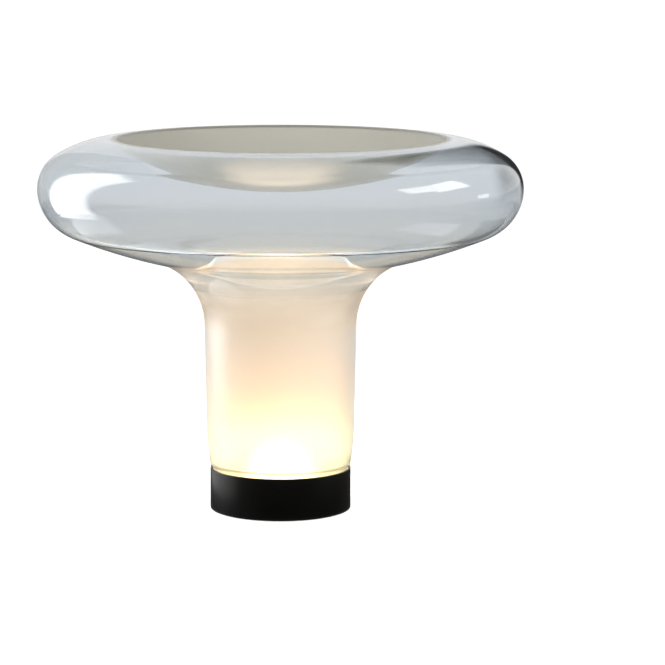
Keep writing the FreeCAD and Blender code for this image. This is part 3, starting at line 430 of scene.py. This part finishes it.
finish = Finish("white board")
ring = finish.ring_distance(finish.place())
outer_ring = 0.014
inner_ring = 0.0065
track_side = 0.0008
track_end = 0.0011
mask_radius = 0.0247
outer = finish.between(finish.size_of(ring - outer_ring), track_side, track_end, 1, 0)
inner = finish.between(finish.size_of(ring - inner_ring), track_side, track_end, 1, 0)
edge = finish.step(ring, mask_radius)
mask = finish.blend(outer + inner, (0.90, 0.90, 0.87), (0.80, 0.78, 0.70))
speck = finish.noise(1800, 3)
dress("led_board", finish.surface({
    "Base Color": finish.blend(edge, mask, (0.66, 0.67, 0.69)),
    "Metallic": edge,
    "Roughness": speck * 0.12 + 0.34,
    "Normal": finish.bump(outer + inner + speck * 0.1, 0.00003, 0.6),
}))


# LEDs: small white moulded packages, lit, with a window of yellow phosphor gel on top. They are soldered to
# the board in two rings.

finish = Finish("LED package")
low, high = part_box("led_packages")
gel_depth = 0.00008
top = finish.step(finish.part(finish.place(), 2), high.z - gel_depth, gel_depth / 2)
gel = finish.noise(3000, 2)
dress("led_packages", finish.surface({
    "Base Color": finish.blend(top, (0.93, 0.92, 0.88), (0.96, 0.80, 0.26)),
    "Roughness": gel * 0.15 + 0.30,
    "Normal": finish.bump(gel, 0.00003, 0.4),
    "Emission Color": finish.blend(top, (0.0, 0.0, 0.0), (1.0, 0.86, 0.52)),
    "Emission Strength": 4.0,
}))


# Reflector deck: steel plate in matt white enamel with a round window for the light source. It is screwed
# down on the cup's ledge.

finish = Finish("white enamel")
peel = finish.noise(520, 3)
dress("deck_plate", finish.surface({
    "Base Color": finish.blend(peel, (0.89, 0.875, 0.84), (0.93, 0.92, 0.90)),
    "Roughness": peel * 0.12 + 0.40,
    "Normal": finish.bump(peel, 0.00008, 0.5),
}))


# Opal dome: moulded from milky diffuser plastic, and lit from below by the LEDs. Its flange is screwed to
# the deck.

finish = Finish("lit opal")
dome_foot = 0.0305
dome_crown = 0.055
rise = finish.between(finish.part(finish.place(), 2), dome_foot, dome_crown)
dress("led_dome", finish.surface({
    "Base Color": (0.98, 0.95, 0.86),
    "Roughness": 0.4,
    "Emission Color": finish.ramp(rise, [
        (0.0, (0.60, 0.42, 0.22)),
        (0.5, (0.90, 0.74, 0.48)),
        (1.0, (1.0, 0.90, 0.68)),
    ]),
    "Emission Strength": 7.5,
}))


# Seat gasket: a flat ring cut from milky silicone sheet. It lies on the deck inside the cup's rim, and the
# glass stands on it.

finish = Finish("silicone")
milk = finish.noise(240, 4)
dress("seat_gasket", finish.surface({
    "Base Color": finish.blend(milk, (0.80, 0.80, 0.77), (0.88, 0.88, 0.85)),
    "Roughness": milk * 0.15 + 0.45,
    "Normal": finish.bump(milk, 0.00004, 0.5),
}))


# Blown glass: one clear hollow head with a sunk frosted dish, on a frosted stem that fades into the head.
# It is drawn as the glassblower's template, from the mouth up to the middle of the dish, then spun, and
# the 4 mm wall lies inside it. It stands loose on the gasket.
# The stem's light is painted on: emission and a warm tint on the frosted glass stand in for the dome's
# light.

WALL = 0.004
MOUTH_RADIUS = 0.0611
MOUTH_HEIGHT = 0.030
SEGMENTS = 192
WELD = 2e-5


class Template:
    """A profile drawn as a run of straights and bends, each starting the way the last one ended."""

    def __init__(self, radius, height):
        bpy.ops.mesh.primitive_plane_add(size=0.001)
        bpy.ops.object.mode_set(mode="EDIT")
        bpy.ops.mesh.merge(type="CENTER")
        bpy.ops.transform.translate(value=(radius, 0, height))
        self.spot = (radius, height)
        self.heading = math.radians(90)

    def straight(self, length):
        step = (length * math.cos(self.heading), length * math.sin(self.heading))
        bpy.ops.mesh.extrude_region_move(TRANSFORM_OT_translate={"value": (step[0], 0, step[1])})
        self.spot = (self.spot[0] + step[0], self.spot[1] + step[1])

    def bend(self, radius, degrees, steps):
        """An arc: left turns are positive."""
        turn = math.radians(degrees)
        side = math.copysign(radius, turn)
        middle = (self.spot[0] - side * math.sin(self.heading), self.spot[1] + side * math.cos(self.heading))
        bpy.ops.mesh.spin(steps=steps, angle=turn, center=(middle[0], 0, middle[1]), axis=(0, 1, 0))
        self.heading += turn
        self.spot = (middle[0] + side * math.sin(self.heading), middle[1] - side * math.cos(self.heading))


template = Template(MOUTH_RADIUS, MOUTH_HEIGHT)
template.straight(0.009)  # neck in the cup's rim
template.bend(0.0015, -53.9515, 4)  # hollow bend just above the rim
template.bend(0.005, 45.5043, 6)  # shoulder under the stem
template.bend(0.270, 7.3472, 10)  # long swell up to the stem's straight side
template.straight(0.0909853)  # stem, widening a little upwards
template.bend(0.0617, -75.5, 32)  # trumpet flare into the head
template.bend(0.4978493, 9.0, 16)  # underside
template.bend(0.0435, 67.6, 24)  # belly, up to the widest place
template.bend(0.034, 59.0503, 20)  # brow above it
template.bend(0.104, 30.9497, 16)  # flat top, up to the crest
template.bend(0.0055, 29.93, 6)  # rolled rim
template.bend(0.28914, -29.93, 32)  # sunk dish
bpy.ops.mesh.select_all(action="SELECT")
bpy.ops.mesh.spin(steps=SEGMENTS, angle=math.radians(360), center=(0, 0, 0), axis=(0, 0, 1))
bpy.ops.mesh.select_all(action="SELECT")
bpy.ops.mesh.remove_doubles(threshold=WELD)
bpy.ops.mesh.normals_make_consistent(inside=False)
bpy.ops.object.mode_set(mode="OBJECT")
glass = bpy.context.object
glass.name = "blown_glass"
wall = glass.modifiers.new("wall", "SOLIDIFY")
wall.thickness = WALL
wall.offset = -1
wall.use_even_offset = True
bpy.ops.object.modifier_apply(modifier="wall")
bpy.ops.object.shade_smooth()

finish = Finish("blown glass")
place = finish.place()
facing = finish.node("ShaderNodeTexCoord", out="Normal")
behind = finish.node("ShaderNodeNewGeometry", out="Backfacing")
height = finish.part(place, 2)
radius = finish.ring_distance(place)
skin = 1 - behind * 2
outward = finish.part(place, 0) * finish.part(facing, 0) + finish.part(place, 1) * finish.part(facing, 1)
inside = finish.between(outward * skin, -0.001, 0, 1, 0)
etched_below = 0.165
clear_above = 0.222
etched = finish.between(height, etched_below, clear_above, 1, 0)
dish_radius = 0.146
rim_radius = 0.155
belly_height = 0.262
dish_height = 0.285
inside_rim = finish.between(radius, dish_radius, rim_radius, 1, 0)
on_dish = inside_rim * finish.between(height, belly_height, dish_height)
on_top = finish.step(finish.part(facing, 2) * skin, 0, 0.1)
head_low = 0.20
head_high = 0.335
# Painted shade and warm light: the clear glass is tinted darker and warmer down towards the stem
clear = finish.shader({
    "Base Color": finish.ramp(finish.between(height, head_low, head_high), [
        (0.0, (0.84, 0.81, 0.75)),
        (0.3, (0.84, 0.83, 0.81)),
        (0.6, (0.86, 0.86, 0.87)),
        (1.0, (0.86, 0.87, 0.88)),
    ]),
    "Roughness": 0.01,
    "IOR": 1.45,
    "Transmission Weight": 1.0,
})
stem_low = 0.03
stem_high = 0.215
up_stem = finish.between(height, stem_low, stem_high)
# Painted light: the frosted glass is tinted yellow at the foot and peach higher up, for the dome's warm
# light
painted_light_tint = finish.ramp(up_stem, [
    (0.0, (0.86, 0.80, 0.62)),
    (0.5, (0.83, 0.73, 0.63)),
    (1.0, (0.78, 0.735, 0.665)),
])
# Painted light: emission on the frosted stem's inner skin, brightest at the foot, fading upwards
painted_inner_glow = finish.ramp(up_stem, [
    (0.0, (1.00, 0.88, 0.58)),
    (0.09, (0.90, 0.78, 0.50)),
    (0.14, (0.44, 0.36, 0.24)),
    (0.3, (0.345, 0.252, 0.183)),
    (0.6, (0.268, 0.198, 0.148)),
    (0.8, (0.215, 0.165, 0.126)),
    (1.0, (0.300, 0.205, 0.145)),
])
# Painted light: fainter emission on the stem's other skins
painted_outer_glow = finish.ramp(up_stem, [
    (0.0, (0.040, 0.032, 0.019)),
    (0.5, (0.028, 0.022, 0.016)),
    (1.0, (0.018, 0.014, 0.010)),
])
# Which skin carries which painted light
lit = finish.blend(inside * (1 - behind), painted_outer_glow, painted_inner_glow)
frosted = finish.shader({
    "Base Color": finish.blend(on_dish, painted_light_tint, (0.79, 0.735, 0.615)),
    "Roughness": 0.36 + on_dish * (on_top * 0.3 - 0.16),
    "IOR": 1.45,
    "Specular IOR Level": 0.36,
    "Transmission Weight": 0.8,
    "Emission Color": finish.blend(on_dish, lit, (0.0, 0.0, 0.0)),
    "Emission Strength": 2.2,
})
mixed = finish.node("ShaderNodeMixShader", sockets={0: etched + on_dish, 1: clear, 2: frosted})
tint = finish.node("ShaderNodeVolumeAbsorption", sockets={
    "Color": (0.81, 0.845, 0.865, 1),
    "Density": 200.0,
})
glass.data.materials.append(finish.output(mixed, tint))
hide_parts("glass_shade")
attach(glass, "shade")


# Studio: pale floor and white surroundings, lit by a large soft lamp at the left and a window at the right.
# Cards that the camera doesn't see stand for the softbox, the panes and the darker parts of the room.

bpy.ops.mesh.primitive_plane_add(size=80, location=(0, 0, 0))
floor = bpy.context.object
floor.name = "floor"
finish = Finish("floor")
floor_shine = 0.72
mirrored_share = 0.1
mirrored = finish.ray("Is Glossy Ray") * mirrored_share
seen = finish.ray("Is Camera Ray") + finish.ray("Is Transmission Ray") + mirrored
matt = finish.node("ShaderNodeBsdfDiffuse", sockets={"Color": (0.62, 0.62, 0.62, 1)})
light = finish.node("ShaderNodeEmission", sockets={"Color": (1, 1, 1, 1), "Strength": seen * floor_shine})
floor.data.materials.append(finish.output(finish.node("ShaderNodeAddShader", sockets={0: matt, 1: light})))

world = bpy.data.worlds.new("studio")
bpy.context.scene.world = world
finish = Finish("studio", world)
seen = finish.ray("Is Camera Ray") + finish.ray("Is Glossy Ray") + finish.ray("Is Transmission Ray")
daylight = 0.55
shown_white = 1.0
strength = finish.between(seen, 0, 1, daylight, shown_white)
white = finish.node("ShaderNodeBackground", sockets={"Color": (1, 1, 1, 1), "Strength": strength})
finish.output(white, kind="ShaderNodeOutputWorld")


def soft_lamp(name, place, aim, size, power):
    """A flat lamp that faces a point. What polished faces show of it is a card's work."""
    bpy.ops.object.light_add(type="AREA", location=place)
    lamp = bpy.context.object
    lamp.name = name
    lamp.data.shape = "RECTANGLE"
    lamp.data.size, lamp.data.size_y = size
    lamp.data.energy = power
    lamp.data.spread = math.radians(100)
    lamp.visible_camera = False
    lamp.visible_glossy = False
    lamp.visible_transmission = False
    lamp.rotation_euler = (Vector(aim) - Vector(place)).to_track_quat("-Z", "Y").to_euler()


def soft_card(name, place, size, strength, colour=(1, 1, 1), aim=None, through=False, disc=False):
    """A card with faded edges, for polished faces to mirror. It may show through glass as well."""
    bpy.ops.mesh.primitive_plane_add(size=1, location=place)
    card = bpy.context.object
    card.name = name
    card.scale = (size[0], size[1], 1)
    if aim:
        card.rotation_euler = (Vector(aim) - Vector(place)).to_track_quat("Z", "Y").to_euler()
    finish = Finish(name)
    where = finish.place()
    fade_from = 0.18 if disc else 0.34
    fade_to = 0.5
    if disc:
        share = finish.between(finish.ring_distance(where), fade_from, fade_to, 1, 0)
    else:
        side = finish.between(finish.size_of(finish.part(where, 0)), fade_from, fade_to, 1, 0)
        end = finish.between(finish.size_of(finish.part(where, 1)), fade_from, fade_to, 1, 0)
        share = side * end
    open_air = finish.node("ShaderNodeBsdfTransparent")
    shine = finish.node("ShaderNodeEmission", sockets={"Color": (*colour, 1), "Strength": strength})
    card.data.materials.append(finish.output(finish.node("ShaderNodeMixShader", sockets={
        0: share,
        1: open_air,
        2: shine,
    })))
    card.visible_camera = False
    card.visible_diffuse = False
    card.visible_transmission = through
    card.visible_shadow = False


head_middle = (0, 0, 0.3)

soft_lamp("left softbox", (-0.81, 0.32, 0.50), (0, 0, 0.2), (0.5, 0.8), 6)
soft_lamp("window", (1.13, -0.35, 0.50), (0, 0, 0.26), (0.5, 0.5), 5)

# What the glass mirrors of them, and a screen that keeps the softbox out of the head seen from the side
soft_card("softbox front", (-0.84, 0.28, 0.55), (0.64, 1.60), 8, aim=(0, 0, 0.55))
soft_card("large pane", (1.12, -0.02, 0.98), (0.60, 0.42), 9, aim=head_middle)
soft_card("small pane", (0.98, -0.35, 0.98), (0.38, 0.32), 9, aim=head_middle)
soft_card("far window", (1.20, 0.24, 0.38), (0.22, 0.14), 5, aim=head_middle)
soft_card("softbox screen", (-0.37, 0.50, 0.62), (0.94, 0.84), 0.7, aim=(0, 0.50, 0.62))

# Light that the softbox and the window lay on the floor, and painted shade and warm lamplight round the lamp
soft_card("softbox pool", (-0.82, 0.22, 0.005), (0.34, 0.56), 5)
soft_card("left pool", (-0.62, 0.08, 0.004), (0.56, 0.42), 1.8)
soft_card("right pool", (0.46, -0.16, 0.004), (0.26, 0.34), 1.8)
soft_card("near floor", (0, 0, 0.003), (0.60, 0.60), 0.05)
soft_card("base pool", (-0.19, 0.03, 0.0045), (0.16, 0.26), 1.2)
soft_card("warm floor", (0, 0, 0.002), (1.3, 1.3), 0.38, (1, 0.80, 0.50))
soft_card("dark floor", (0, 0, 0.001), (3.4, 3.4), 0.12)

# The dark parts of the room: a card with little or no strength is dark
soft_card("dark front", (0.25, -1.0, 0.12), (2.4, 0.40), 0, aim=(0.25, 0, 0.12))
soft_card("dark side", (1.0, -0.1, 0.10), (1.6, 0.32), 0, aim=(0, -0.1, 0.10))
soft_card("dark strip", (0.52, 1.41, 0.82), (0.50, 1.80), 0.04, aim=head_middle, through=True)
soft_card("dark corner", (0.49, 1.42, 1.20), (0.50, 0.56), 0, aim=head_middle)
soft_card("dark ground", (0.42, 0.42, 0.004), (0.40, 0.56), 0.30, through=True)

# Painted light over the stem's mouth, on a card that the dish mirrors
soft_card("stem mouth", (0, 0, 0.212), (0.20, 0.20), 4.6, (1, 0.82, 0.66), disc=True)


def halo(low, high, strength, colour):
    """A sleeve of light between two rings, each a radius and a height, that polished faces mirror."""
    bpy.ops.mesh.primitive_cone_add(
        vertices=96,
        radius1=low[0],
        radius2=high[0],
        depth=high[1] - low[1],
        end_fill_type="NOTHING",
        location=(0, 0, (low[1] + high[1]) / 2),
    )
    sleeve = bpy.context.object
    sleeve.name = "halo"
    finish = Finish("halo")
    open_air = finish.node("ShaderNodeBsdfTransparent")
    shine = finish.node("ShaderNodeEmission", sockets={"Color": (*colour, 1), "Strength": strength})
    faint = finish.node("ShaderNodeAddShader", sockets={0: open_air, 1: shine})
    sleeve.data.materials.append(finish.output(faint))
    sleeve.visible_camera = False
    sleeve.visible_diffuse = False
    sleeve.visible_transmission = False
    sleeve.visible_shadow = False


# Painted reflections of the lit stem: sleeves of light round it, which the head's underside mirrors
halo((0.0675, 0.050), (0.0725, 0.165), 0.9, (0.85, 0.95, 1.0))
halo((0.0725, 0.165), (0.0800, 0.197), 0.8, (1, 0.66, 0.36))
halo((0.0800, 0.197), (0.1060, 0.222), 0.22, (1, 0.60, 0.30))

bpy.context.scene.view_settings.view_transform = "Standard"
